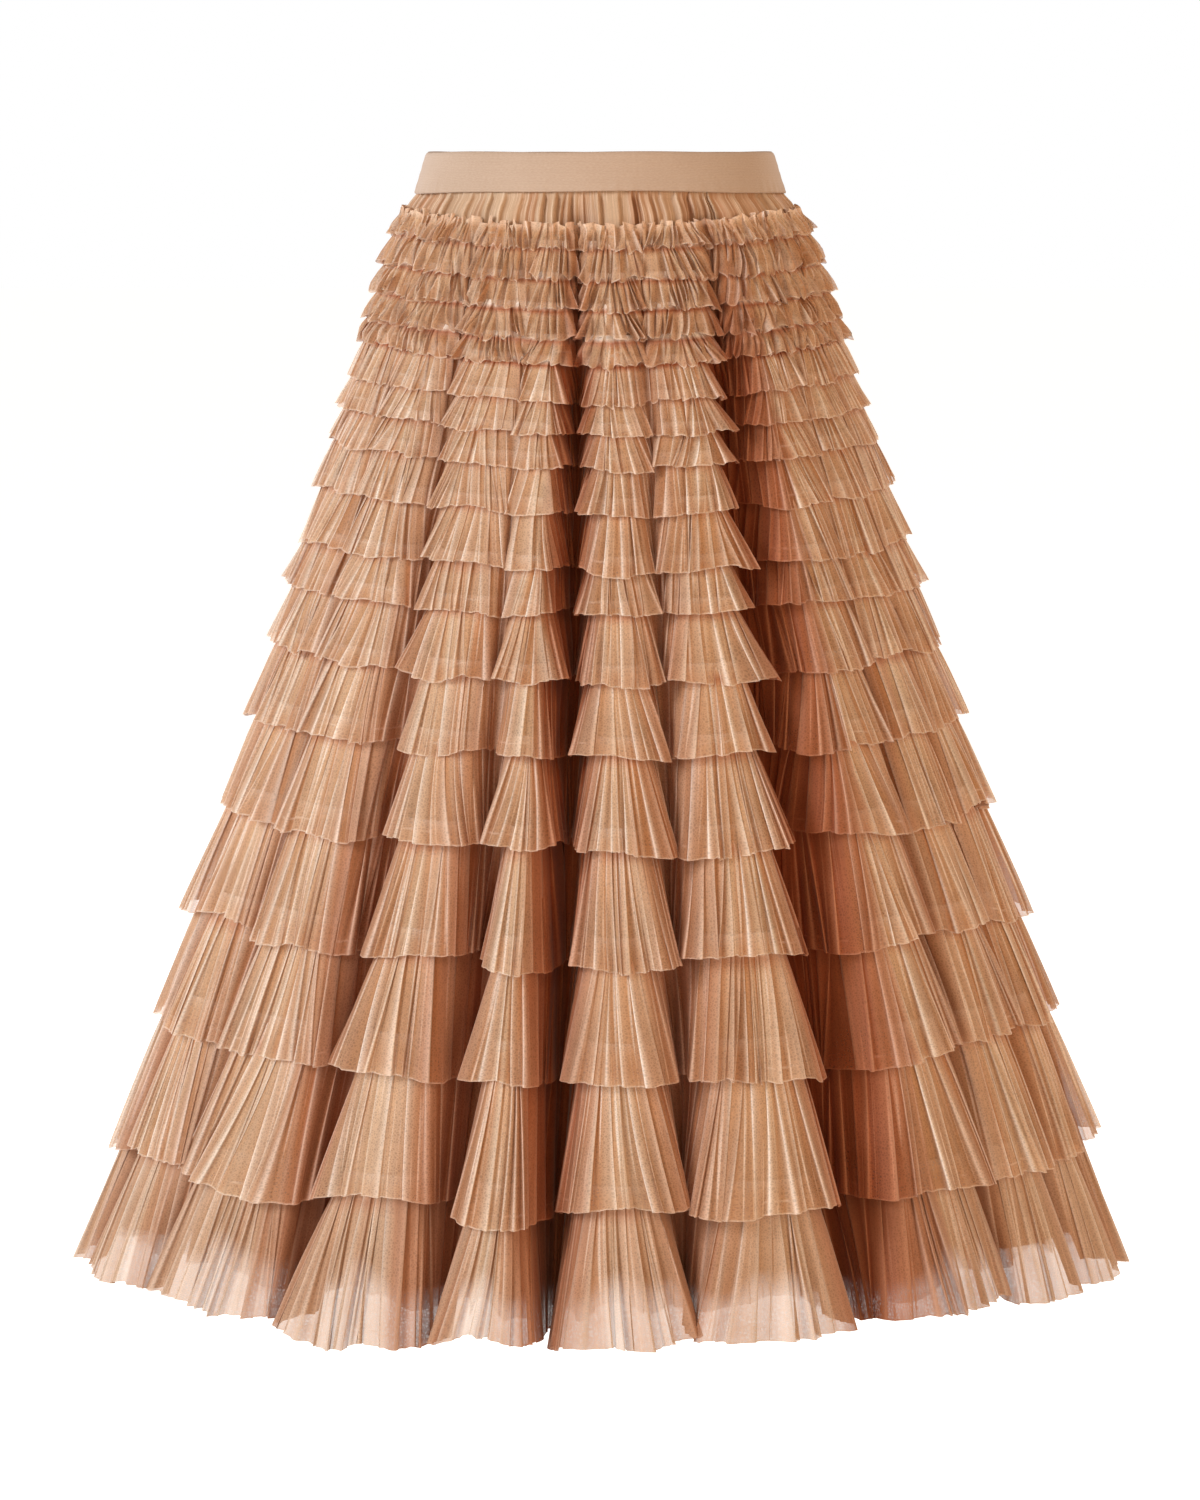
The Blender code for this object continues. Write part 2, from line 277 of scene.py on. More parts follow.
def guide_bearing(fold, kind, half_width, half_depth, oval, opening):
    """Bearing of a guide: 0 fold bottom, 1 shoulder after it, 2 crown, 3 next shoulder."""
    after = (fold + 1) % len(FOLDS)
    here = np.radians(FOLDS[fold, 0])
    there = np.radians(FOLDS[after, 0])
    there = np.where(there < here, there + 2.0 * np.pi, there)
    at = np.where(kind == 3, there, here)
    along_y = half_depth * (oval + 2.0 * (1.0 - oval) * np.abs(np.cos(at))) * np.sin(at)
    stretch = np.hypot(half_width * np.cos(at), along_y)
    step = opening * FOLDS[np.where(kind == 3, after, fold), 2] / stretch
    crown = 0.5 * (here + there)
    return np.select([kind == 0, kind == 1, kind == 2], [here, here + step, crown], there - step)


def fold_share(fold, height):
    """Share of the depth; near the waist only the deepest folds keep all of theirs."""
    share = FOLDS[fold, 1]
    grown = np.interp(-height, [CALM_TOP, CALM_END], [0.0, 1.0]) ** 1.4
    calm = CALM_SHARES[fold] + (1.0 - CALM_SHARES[fold]) * grown
    return share * (calm + (1.0 - calm) * np.clip((share - DEEP_FROM) / DEEP_RANGE, 0.0, 1.0))


def guide_point(column, height, droop, out, side):
    """Guide points, moved out and sideways to the nearest fold; droop lowers the front
    and the back."""
    column = np.mod(column, GUIDES)
    fold, kind = column // 4, column % 4
    width, depth, lean, oval, fold_depth, opening = section_at(height)
    bearing = guide_bearing(fold, kind, width, depth, oval, opening)
    height = height - droop * np.cos(bearing) ** 2
    width, depth, lean, oval, fold_depth, opening = section_at(height)
    bearing = guide_bearing(fold, kind, width, depth, oval, opening)
    turn = np.cos(bearing)
    x = lean + width * np.sin(bearing)
    y = -depth * (oval * turn + (1.0 - oval) * turn * np.abs(turn))
    along_x = width * turn
    along_y = depth * (oval + 2.0 * (1.0 - oval) * np.abs(turn)) * np.sin(bearing)
    stretch = np.hypot(along_x, along_y)
    along_x, along_y = along_x / stretch, along_y / stretch
    share = fold_share(np.where(kind == 3, (fold + 1) % len(FOLDS), fold), height)
    inset = fold_depth * share * np.select([kind == 0, kind == 2], [1.0, 0.0], CROWN_ROUNDING)
    shift = np.select([kind == 1, kind == 3], [-1.0, 1.0], 0.0) * side
    move = out - inset
    x = x + along_y * move + along_x * shift
    y = y - along_x * move + along_y * shift
    return np.stack([x, y, height], -1)


def fold_shape(column, height):
    """Half opening and depth at a guide, what a mitre adds, and its openness, 0 to 1."""
    column = np.mod(column, GUIDES)
    fold, kind = column // 4, column % 4
    near = np.where(kind == 3, (fold + 1) % len(FOLDS), fold)
    _, _, _, _, fold_depth, opening = section_at(height)
    mouth = opening * FOLDS[near, 2]
    deep = fold_depth * fold_share(near, height) * (1.0 - CROWN_ROUNDING)
    mitre = np.where(kind == 0, np.hypot(deep, mouth) / mouth, 1.0)
    openness = np.clip((fold_share(near, height) - 0.25) / 0.55, 0.0, 1.0)
    return mouth, deep, mitre, openness


test = guide_point(np.arange(GUIDES), np.full(GUIDES, -0.70), 0.0, 0.0, 0.0)
print("guides at the hem reach", test.min(0).round(3), test.max(0).round(3))

# %% Smooth surface between the guides
def smooth_surface(place, guide):
    """Curve through the guides: points, and the outward direction level with the floor."""
    first = np.floor(place).astype(int)
    f = (place - first)[..., None]
    p0, p1, p2, p3 = (guide(first + k) for k in (-1, 0, 1, 2))
    point = 0.5 * (2 * p1 + (p2 - p0) * f + (2 * p0 - 5 * p1 + 4 * p2 - p3) * f ** 2
                   + (3 * p1 - p0 - 3 * p2 + p3) * f ** 3)
    slope = 0.5 * ((p2 - p0) + 2 * (2 * p0 - 5 * p1 + 4 * p2 - p3) * f
                   + 3 * (3 * p1 - p0 - 3 * p2 + p3) * f ** 2)
    along = slope[..., :2] / np.linalg.norm(slope[..., :2], axis=-1, keepdims=True)
    return point, np.stack([along[..., 1], -along[..., 0]], -1)


round_hem = np.linspace(0.0, GUIDES, 400)
hem_height = np.full_like(round_hem, -0.70)
hem_curve, _ = smooth_surface(round_hem, lambda column: guide_point(column, hem_height, 0.0, 0.0, 0.0))
print("the curve through them reaches", hem_curve.min(0).round(3), hem_curve.max(0).round(3))

# %% Surfaces of the ruffles and of the base
def shoulder_fans(number):
    """How far each shoulder of a ruffle's free edge closes its fold; no two are alike."""
    random = np.random.default_rng(300 + number)
    unlike = 0.30 if number > FRILLS else 0.08
    column = np.arange(GUIDES)
    near = np.where(column % 4 == 3, column // 4 + 1, column // 4) % len(FOLDS)
    deepest = np.clip((FOLDS[near, 1] - DEEP_FROM) / DEEP_RANGE, 0.0, 1.0)
    spread = SHOULDER_SPREAD - DEEP_SPREAD * deepest
    return np.clip(spread + unlike * random.normal(0.0, 1.0, GUIDES), 0.10, 1.05)


def ruffle_surface(number, place, fall):
    """A ruffle's smooth surface: place runs round the guides, fall from seam 0 to edge 1."""
    seam, edge, droop, flare, wave = RUFFLES[number - 1]
    height = seam + (edge - seam) * fall
    wall = EDGE_OFFSET + EDGE_SHARE * flare
    open_out = 1.0 - (1.0 - np.clip(fall, 0.0, 1.0)) ** (1.12 if number > FRILLS else 2.6)
    fan_out = np.clip(fall, 0.0, 1.0)
    fans = shoulder_fans(number)

    def guide(column):
        column = np.mod(column, GUIDES)
        kind = column % 4
        mouth, deep, mitre, openness = fold_shape(column, height)
        openness = openness * (1.0 if number > FRILLS else FRILL_OPEN)
        turn = np.where((column // 4 + number) % 2 == 0, 1.0, -1.0)
        # the free edge: it spans calm folds, and its flaps stand out over open ones
        bottom = wall * mitre + BRIDGE * (1.0 - openness) * deep
        flap = flare + FLAP * fans[column] * openness * mouth
        edge_out = np.select([kind == 0, kind == 2], [bottom, flare + turn * wave], flap)
        out = SEAM_OFFSET * mitre + (edge_out - SEAM_OFFSET * mitre) * open_out
        # and sideways it closes part of each fold, from a seam that is drawn in
        closed = np.minimum(fans[column] + 0.50 * (1.0 - openness), 0.95)
        edge_side = np.maximum(closed * mouth, wall)
        seam_side = SEAM_OFFSET + (DRAW_IN * (1.0 - openness) - PINCH * openness) * mouth
        side = seam_side + (edge_side - seam_side) * fan_out
        return guide_point(column, height, droop, out, side)

    return smooth_surface(place, guide)


def base_surface(place, height):
    """The base skirt's smooth surface, on which every ruffle is sewn."""
    def guide(column):
        mouth, _, _, openness = fold_shape(column, height)
        side = (DRAW_IN * (1.0 - openness) - PINCH * openness) * mouth
        return guide_point(column, height, 0.0, 0.0, side)

    return smooth_surface(place, guide)


def even_places(surface, samples=6000):
    """An outline's length, and a function from a share of it to a place on the guides."""
    place = np.linspace(0.0, GUIDES, samples)
    path = surface(place)
    run = np.concatenate([[0.0], np.cumsum(np.linalg.norm(np.diff(path, axis=0), axis=1))])

    def place_at(share):
        return np.interp(np.mod(share, 1.0), run / run[-1], place) + GUIDES * np.floor(share)

    return run[-1], place_at


for k in (1, 9, 18):
    length, _ = even_places(lambda p, k=k: ruffle_surface(k, p, np.ones_like(p))[0])
    print("ruffle", k, "free edge", round(length, 2), "m round its folds")

# %% Shade in the folds
WIDEST = 1.05          # a fold with a larger share of the opening than this, only one
FAR_WALL = 1.65        # by how much its shade is stretched
DARK_DEPTH = 0.026     # folds deeper than this are as dark as they get


def fold_hollow_and_shade_at(place, height):
    """How deep in a fold a point lies, which the cloth shows as painted shade: 0 on the
    crowns, 1 at the bottom of the deepest. In the widest fold the painted shade reaches
    further over the right wall."""
    fold = np.mod(np.floor(np.mod(place, GUIDES) / 4.0 + 0.5).astype(int), len(FOLDS))
    after = np.mod(place, 4.0)
    after = np.where((after < 2.0) & (FOLDS[fold, 2] > WIDEST), after / FAR_WALL, after)
    within = np.interp(after, [0.0, 0.5, 1.0, 1.5, 2.0, 2.5, 3.0, 3.5, 4.0],
                       [1.0, 0.98, 0.66, 0.18, 0.0, 0.26, 0.80, 1.0, 1.0])
    depth = np.clip(section_at(height)[4] / DARK_DEPTH, 0.0, 1.0)
    return np.clip(within * (0.22 + 0.62 * fold_share(fold, height)) * depth, 0.0, 1.0)


bottoms = fold_hollow_and_shade_at(np.arange(0.0, GUIDES, 4.0), -0.70)
print("shade at the bottoms of the folds:", bottoms.min().round(2), "to", bottoms.max().round(2))

# %% [markdown]
# ## Gathering a strip
# A ruffle starts as a flat strip, a grid of squares: across is its length, down its
# depth. Gathering pushes it into small pleats of unlike widths. In each pleat the cloth
# runs forward as a flat panel, doubles back a few millimetres and runs on, which is what
# makes the thin bright lines on sheer cloth. The pleats are tight at the seam and open
# towards the free edge. Three numbers are stored with every point for the material: the
# line of a fold (1 on its front edge, where the net is doubled and a highlight is painted,
# -1 in the painted shade behind it), how deep the point lies in a lengthwise fold, which
# the material paints as shade, and the tone of its pleat.

# %% Random but repeatable
def ripple(random, share, low, high, count=7):
    """A smooth closed wave of about unit height, made of count whole waves round."""
    turns = random.integers(low, high + 1, count)
    starts = random.random(count)
    waves = [np.sin(2.0 * np.pi * (t * share + s)) for t, s in zip(turns, starts)]
    return sum(waves) / math.sqrt(count / 2.0)


wave = ripple(np.random.default_rng(1), np.linspace(0.0, 1.0, 500), 2, 9)
print("a ripple runs from", wave.min().round(1), "to", wave.max().round(1))

# %% A flat strip, and how it is sewn
def strip_grid(across, down):
    """Flat strip of squares from a grid: its mesh, and where each point is, 0 to 1."""
    shape = bmesh.new()
    bmesh.ops.create_grid(shape, x_segments=across, y_segments=down, size=0.5)
    bmesh.ops.translate(shape, verts=shape.verts, vec=(0.5, 0.5, 0.0))
    bmesh.ops.scale(shape, verts=shape.verts, vec=(1.0, -1.0, 1.0))
    bmesh.ops.translate(shape, verts=shape.verts, vec=(0.0, 1.0, 0.0))
    mesh = bpy.data.meshes.new("strip")
    shape.to_mesh(mesh)
    shape.free()
    flat = np.empty(len(mesh.vertices) * 3)
    mesh.vertices.foreach_get("co", flat)
    flat = flat.reshape(-1, 3)
    return mesh, flat[:, 0].copy(), flat[:, 1].copy()


def cut_length(points, share, fall, rows, first_row=0):
    """Length of the cloth as cut, the mean of its rows, and how far along each point is."""
    grid = np.lexsort((share, np.round(fall, 6))).reshape(rows + 1, -1)
    steps = np.linalg.norm(np.diff(points[grid[first_row:]], axis=1), axis=2)
    run = np.concatenate([[0.0], np.cumsum(steps.mean(axis=0))])
    return run[-1], np.interp(share, share[grid[0]], run)


def sew_strip(name, mesh, points, marks, gather, across, down, share):
    """Move the strip's points to their places, map it as it was cut and close the ring."""
    mesh.vertices.foreach_set("co", points.astype(np.float32).ravel())
    corners = np.empty(len(mesh.loops), dtype=np.int32)
    mesh.loops.foreach_get("vertex_index", corners)
    uv = np.stack([across[corners], down[corners]], -1)
    mesh.uv_layers.new(name="cut").data.foreach_set("uv", uv.astype(np.float32).ravel())
    mark = mesh.attributes.new("cloth_marks", "FLOAT_VECTOR", "POINT")
    mark.data.foreach_set("vector", marks.astype(np.float32).ravel())
    dense = mesh.attributes.new("cloth_gather", "FLOAT", "POINT")
    dense.data.foreach_set("value", gather.astype(np.float32))
    shape = bmesh.new()
    shape.from_mesh(mesh)
    ends = [v for v, s in zip(shape.verts, share) if s < 1e-6 or s > 1.0 - 1e-6]
    bmesh.ops.remove_doubles(shape, verts=ends, dist=0.00001)
    for face in shape.faces:
        face.smooth = True
    shape.to_mesh(mesh)
    shape.free()
    mesh.name = name
    piece = bpy.data.objects.new(name, mesh)
    bpy.context.scene.collection.objects.link(piece)
    return piece


print("one strip:", len(strip_grid(8, 2)[0].vertices), "points for 8 by 2 squares")

# %% Pleats
PLEAT_STEPS = 8             # squares across one pleat
HUG = np.array([0.22, 0.70, 1.0, 0.70])     # pleats are lower at fold bottoms and shoulders
# the painted highlight on a fold's doubled front edge and the painted shade behind it, at each eighth of a
# pleat
FOLD_LINE = np.array([0.10, 0.0, -0.16, -0.08, 0.25, 1.0, 0.55, 0.20, 0.10])


def pleat_layout(random, count, unlike=0.45):
    """Widths of one strip's pleats, as shares of its length, and how each one folds."""
    width = np.exp(np.clip(random.normal(0.0, unlike, count), -1.2, 0.75))
    width /= width.sum()
    return {"count": count, "width": width, "middle": np.cumsum(width) - 0.5 * width,
            "double": random.uniform(0.3, 1.45, count), "height": random.uniform(0.4, 1.3, count),
            "tone": random.normal(0.0, 1.0, count), "turn": random.random(count) < 0.5}


def pleated(layout, share, fall, places, seam_height, edge_height, seam_double=1.8):
    """Where each grid point goes: its place round the guides, its height off the surface,
    the fold line there, and which pleat it is in."""
    position = share * layout["count"]
    index = np.minimum(np.floor(position + 1e-7).astype(int), layout["count"] - 1)
    f = position - index
    turned = layout["turn"][index]
    f = np.where(turned, 1.0 - f, f)
    ease = np.clip(fall, 0.0, 1.0)
    edge_double = layout["double"][index]
    double = seam_double + (edge_double - seam_double) * ease ** 0.7
    # the sine takes the cloth on, back and on again; above 1 it doubles
    run = f - 0.5 - double * np.sin(2.0 * np.pi * (f - 0.5)) / (2.0 * np.pi) * 0.9
    run = np.where(turned, -run, run)
    place = places(layout["middle"][index] + layout["width"][index] * run)
    amount = seam_height + (edge_height - seam_height) * ease ** 0.85
    rise = amount * layout["height"][index] * np.sin(2.0 * np.pi * (f - 0.5))
    line = np.interp(f, np.linspace(0.0, 1.0, len(FOLD_LINE)), FOLD_LINE)
    line = line * np.clip(0.5 + 0.4 * edge_double, 0.0, 1.0)
    return place, rise, line, index


def lie_between(moved, fall, hug):
    """Keep a strip's pleats clear of the strip above, near its seam, and of the one below."""
    # metres outwards and inwards, little at the seam and more at the free edge
    most = 0.0008 + 0.0085 * np.clip(fall - 0.2, 0.0, 1.0) * hug
    least = -(0.0008 + 0.0046 * fall * hug ** 2)
    return np.clip(moved, least, most)


def hug_at(place):
    """Share of its height that a pleat keeps at a place round the guides."""
    return np.interp(np.mod(place, 4.0), [0.0, 1.0, 2.0, 3.0, 4.0], [*HUG, HUG[0]])


trial = pleat_layout(np.random.default_rng(5), 300)["width"] * 3600
print("pleats from", round(trial.min(), 1), "to", round(trial.max(), 1), "mm on a 3.6 m edge")

# %% [markdown]
# ## Materials
# Tulle is a knitted polyester net of hair-thin thread. One layer lets about half of the
# light through its holes, so layers are seen through each other, and wherever the net
# doubles it is denser. The material is one principled surface whose alpha and colour
# follow the numbers stored on the cloth. Its colour is paler along the fold lines, partly
# from the doubled net and partly a painted highlight, and darker and warmer deep in the
# folds and under each edge above, which is painted shade. A real net has six holes a
# centimetre or more, finer than the picture can show, so it is drawn at a coarser step,
# only as a faint grain.

# %% Tulle
SEAM_BEHIND = 0.0090       # this far above a free edge the seam below it shows through


def tulle(name, body, line, shade, painted_shade_colour, alpha, alpha_fold, grain_mm):
    """Polyester tulle: sheer panels, denser and paler where it doubles or ends. The
    colours are the net's, a fold line's, which is partly a painted highlight, a darker
    panel's, and the painted shade that deep folds and the edge above multiply it by;
    alpha is one layer's, alpha_fold that of doubled cloth."""
    made = bpy.data.materials.new(name)
    made.use_nodes = True
    tree = made.node_tree
    surface = tree.nodes["Principled BSDF"]
    surface.inputs["Roughness"].default_value = 0.62
    surface.inputs["Specular IOR Level"].default_value = 0.25
    surface.inputs["Sheen Weight"].default_value = 0.25
    surface.inputs["Sheen Roughness"].default_value = 0.45
    surface.inputs["Sheen Tint"].default_value = linear("#ffe9d2")
    # the marks: fold line, painted shade of deep folds and of the edge above, and pleat tone
    marks = node(tree, "ShaderNodeAttribute", {"attribute_name": "cloth_marks"})
    part = node(tree, "ShaderNodeSeparateXYZ", Vector=marks.outputs["Vector"])
    fold, deep, tone = part.outputs[0], part.outputs[1], part.outputs[2]
    gather = node(tree, "ShaderNodeAttribute", {"attribute_name": "cloth_gather"}).outputs["Fac"]
    where = node(tree, "ShaderNodeUVMap", {"uv_map": "cut"})
    level = node(tree, "ShaderNodeSeparateXYZ", Vector=where.outputs[0])
    # a paler line of about a millimetre along the free edge
    edge = node(tree, "ShaderNodeMapRange", i0=level.outputs[1], i1=0.0003, i2=0.0014, i3=0.40, i4=0.0)
    # the net's threads, clouds of looser and closer net, and creases that run down the strip
    net = node(tree, "ShaderNodeTexVoronoi", {"feature": "DISTANCE_TO_EDGE"},
               Vector=where.outputs[0], Scale=1000.0 / grain_mm)
    thread = node(tree, "ShaderNodeMapRange", i0=net.outputs["Distance"], i1=0.02, i2=0.28, i3=1.0, i4=0.0)
    cloud = node(tree, "ShaderNodeTexNoise", Vector=where.outputs[0], Scale=26.0, Detail=3.0)
    stretched = node(tree, "ShaderNodeMapping", Vector=where.outputs[0], Scale=(1.0, 0.02, 1.0))
    strand = node(tree, "ShaderNodeTexNoise", Vector=stretched.outputs[0], Scale=330.0, Detail=2.5)
    crease = node(tree, "ShaderNodeMapRange", i0=strand.outputs["Fac"], i1=0.56, i2=0.70, i3=0.0, i4=0.60)
    lines = node(tree, "ShaderNodeMath", {"operation": "MAXIMUM"}, i0=fold, i1=crease.outputs[0])
    # here and there the seam of the strip below shows through as one more pale line
    from_seam = node(tree, "ShaderNodeMath", {"operation": "SUBTRACT"}, i0=level.outputs[1], i1=SEAM_BEHIND)
    off_seam = node(tree, "ShaderNodeMath", {"operation": "ABSOLUTE"}, i0=from_seam.outputs[0])
    behind = node(tree, "ShaderNodeMapRange", i0=off_seam.outputs[0], i1=0.0003, i2=0.0012, i3=0.24, i4=0.0)
    shown = node(tree, "ShaderNodeMapRange", i0=cloud.outputs["Fac"], i1=0.52, i2=0.60, i3=0.0, i4=1.0)
    seam = node(tree, "ShaderNodeMath", {"operation": "MULTIPLY"}, i0=behind.outputs[0], i1=shown.outputs[0])
    ends = node(tree, "ShaderNodeMath", {"operation": "MAXIMUM"}, i0=seam.outputs[0], i1=edge.outputs[0])
    bright = node(tree, "ShaderNodeMath", {"operation": "MAXIMUM"}, i0=lines.outputs[0], i1=ends.outputs[0])
    dense = node(tree, "ShaderNodeMath", {"operation": "MAXIMUM"}, i0=bright.outputs[0], i1=0.0)
    # colour: each pleat's panel, then its lines with their painted highlight, grain, creases and the painted
    # shade behind each fold, then the painted shade of the deep folds
    shadow = node(tree, "ShaderNodeMapRange", i0=fold, i1=-1.0, i2=0.0, i3=0.86, i4=1.0)
    lightness = node(tree, "ShaderNodeMapRange", i0=tone, i1=-1.0, i2=1.0, i3=0.0, i4=1.0)
    panel = node(tree, "ShaderNodeMix", {"data_type": "RGBA"}, i0=lightness.outputs[0],
                 i6=linear(shade), i7=linear(body))
    lined = node(tree, "ShaderNodeMix", {"data_type": "RGBA"}, i0=dense.outputs[0],
                 i6=panel.outputs[2], i7=linear(line))
    grain = node(tree, "ShaderNodeMapRange", i0=thread.outputs[0], i1=0.0, i2=1.0, i3=0.90, i4=1.06)
    streak = node(tree, "ShaderNodeMapRange", i0=strand.outputs["Fac"], i1=0.30, i2=0.60, i3=0.87, i4=1.04)
    woven = node(tree, "ShaderNodeMath", {"operation": "MULTIPLY"}, i0=grain.outputs[0], i1=streak.outputs[0])
    grained = node(tree, "ShaderNodeMath", {"operation": "MULTIPLY"},
                   i0=woven.outputs[0], i1=shadow.outputs[0])
    toned = node(tree, "ShaderNodeMix", {"data_type": "RGBA", "blend_type": "MULTIPLY"}, i0=1.0,
                 i6=lined.outputs[2], i7=grained.outputs[0])
    # painted shade: the colour is multiplied by the shade colour where the fold mark is deep
    painted_shade = node(tree, "ShaderNodeMix", {"data_type": "RGBA", "blend_type": "MULTIPLY"}, i0=deep,
                i6=toned.outputs[2], i7=linear(painted_shade_colour))
    tree.links.new(painted_shade.outputs[2], surface.inputs["Base Color"])
    # cover: close where the net is doubled or gathered, on its threads and in the hollows
    thick = node(tree, "ShaderNodeMath", {"operation": "MAXIMUM"}, i0=dense.outputs[0], i1=gather)
    sheer = node(tree, "ShaderNodeMapRange", i0=thick.outputs[0], i1=0.0, i2=1.0, i3=alpha, i4=alpha_fold)
    patch = node(tree, "ShaderNodeMapRange", i0=cloud.outputs["Fac"], i1=0.3, i2=0.7, i3=-0.05, i4=0.05)
    thready = node(tree, "ShaderNodeMath", {"operation": "MULTIPLY_ADD"},
                   i0=thread.outputs[0], i1=0.12, i2=patch.outputs[0])
    layered = node(tree, "ShaderNodeMath", {"operation": "MULTIPLY_ADD"},
                   i0=tone, i1=-0.06, i2=thready.outputs[0])
    packed = node(tree, "ShaderNodeMath", {"operation": "MULTIPLY_ADD"},
                  i0=deep, i1=0.22, i2=layered.outputs[0])
    total = node(tree, "ShaderNodeMath", {"operation": "ADD", "use_clamp": True},
                 i0=sheer.outputs[0], i1=packed.outputs[0])
    tree.links.new(total.outputs[0], surface.inputs["Alpha"])
    return made


# the fourth colour of each tulle is painted shade, for deep folds and under the edge above
ruffle_tulle = tulle("sheer_polyester_tulle", body="#deb187", line="#fdf0de", shade="#c58a5a",
                     painted_shade_colour="#bc7952", alpha=0.46, alpha_fold=0.94, grain_mm=1.8)
# the last ruffle has nothing but the white room behind it, so it needs more body
hem_tulle = tulle("sheer_polyester_tulle_hem", body="#cda581", line="#e4ceb8", shade="#b8855e",
                  painted_shade_colour="#c68a66", alpha=0.64, alpha_fold=0.94, grain_mm=1.8)
# the base is close everywhere but in its last centimetres, where it thins out
base_tulle = tulle("base_polyester_tulle", body="#c8a684", line="#e8d0b4", shade="#b87e54",
                   painted_shade_colour="#b07048", alpha=0.12, alpha_fold=1.0, grain_mm=1.6)
print("tulle materials ready")

# %% [markdown]
# ## Elastic
# The waistband is a knitted elastic tape, matt and close, with fine ribs that run round
# the waist and a soft rolled edge at the top.

# %% Knitted elastic
RIB = 0.0011               # from one rib of the tape to the next


def knitted_elastic(name):
    """Polyester covered rubber tape: fine level ribs with small stitches across them."""
    made = bpy.data.materials.new(name)
    made.use_nodes = True
    tree = made.node_tree
    surface = tree.nodes["Principled BSDF"]
    surface.inputs["Roughness"].default_value = 0.78
    surface.inputs["Specular IOR Level"].default_value = 0.2
    surface.inputs["Sheen Weight"].default_value = 0.25
    where = node(tree, "ShaderNodeUVMap", {"uv_map": "cut"})
    split = node(tree, "ShaderNodeSeparateXYZ", Vector=where.outputs[0])
    turn = node(tree, "ShaderNodeMath", {"operation": "MULTIPLY"},
                i0=split.outputs[1], i1=2.0 * math.pi / RIB)
    rib = node(tree, "ShaderNodeMath", {"operation": "SINE"}, i0=turn.outputs[0])
    stitches = node(tree, "ShaderNodeMapping", Vector=where.outputs[0], Scale=(0.35, 1.0, 1.0))
    knit = node(tree, "ShaderNodeTexNoise", Vector=stitches.outputs[0], Scale=1500.0, Detail=2.0)
    cloud = node(tree, "ShaderNodeTexNoise", Vector=where.outputs[0], Scale=30.0, Detail=2.0)
    mixed = node(tree, "ShaderNodeMath", {"operation": "MULTIPLY_ADD"},
                 i0=rib.outputs[0], i1=0.10, i2=knit.outputs["Fac"])
    fade = node(tree, "ShaderNodeMath", {"operation": "MULTIPLY_ADD"},
                i0=cloud.outputs["Fac"], i1=0.35, i2=mixed.outputs[0])
    wear = node(tree, "ShaderNodeMapRange", i0=fade.outputs[0], i1=0.35, i2=1.0, i3=0.0, i4=1.0)
    colour = node(tree, "ShaderNodeMix", {"data_type": "RGBA"}, i0=wear.outputs[0],
                  i6=linear("#b4957c"), i7=linear("#c2a68e"))
    tree.links.new(colour.outputs[2], surface.inputs["Base Color"])
    bump = node(tree, "ShaderNodeBump", Strength=0.35, Distance=0.0003, Height=mixed.outputs[0])
    tree.links.new(bump.outputs[0], surface.inputs["Normal"])
    return made


elastic = knitted_elastic("knitted_elastic")
print("elastic ready")

# %% [markdown]
# ## The waistband
# A flat tape 29 mm wide joined into a ring, a little wider below than above. Its strip is
# rolled round its own section: up the outside, over the top edge, down the inside.

# %% Waistband
BAND_LEVELS = np.array([(0.0145, 0.1194), (0.0115, 0.1212), (-0.0141, 0.1287)])   # height, half width
BAND_LONG = 0.66          # the tape's length as cut
BAND_RATIO = 0.78         # half depth by half width
BAND_THICK = 0.0020
BAND_ROUND, BAND_SECTION = 300, 64     # squares round the waist and round the tape
FRONT_LIFT = 0.0022       # the band's lower edge is drawn up a little at front and back
BAND_LIFT = 0.0018        # its front stands this much higher than the solid's
BACK_DIP = 0.0048         # its back sits lower than its front, as on the body

band_mesh, share, turn = strip_grid(BAND_ROUND, BAND_SECTION)
face_high = BAND_LEVELS[0, 0] - BAND_LEVELS[2, 0]
loop_long = 2.0 * (face_high + BAND_THICK)
run = turn * loop_long
# up the tape's section and inward from its face, for each row of the strip
outside = run < face_high
inside = (run >= face_high + BAND_THICK) & (run < 2 * face_high + BAND_THICK)
over_top = (run >= face_high) & (run < face_high + BAND_THICK)
parts = [outside, over_top, inside]
back_down = 2 * face_high + BAND_THICK - run
up = np.select(parts, [run, face_high + 0 * run, back_down], 0.0)
inward = np.select(parts, [0 * run, run - face_high, BAND_THICK + 0 * run], loop_long - run)
edge_near = np.minimum(up, face_high - up)
round_in = 0.0007 * np.clip(1.0 - edge_near / 0.0010, 0.0, 1.0) ** 2
inward = np.where(inward < BAND_THICK / 2, inward + round_in, inward - round_in)
ribs = 0.00009 * np.sin(2.0 * np.pi * up / RIB) * (inward < 0.001)
height = BAND_LEVELS[2, 0] + up
reach = np.interp(-height, -BAND_LEVELS[:, 0], BAND_LEVELS[:, 1])
bearing = 2.0 * np.pi * share + np.pi
sway = 0.0004 * ripple(np.random.default_rng(11), share, 2, 7)
pucker = 0.00022 * ripple(np.random.default_rng(12), share, 60, 150) * np.clip(1.0 - up / 0.012, 0, 1)
width = reach - inward + ribs + sway + pucker
deep = reach * BAND_RATIO - inward + ribs + sway + pucker
level = 0.0002 * ripple(np.random.default_rng(13), share, 2, 6)
level += FRONT_LIFT * np.cos(bearing) ** 2 * (1.0 - up / face_high)
level += BAND_LIFT - BACK_DIP * 0.5 * (1.0 - np.cos(bearing))
points = np.stack([width * np.sin(bearing), -deep * np.cos(bearing), height + level], -1)
plain = np.zeros((len(share), 3))
along = BAND_LONG * share
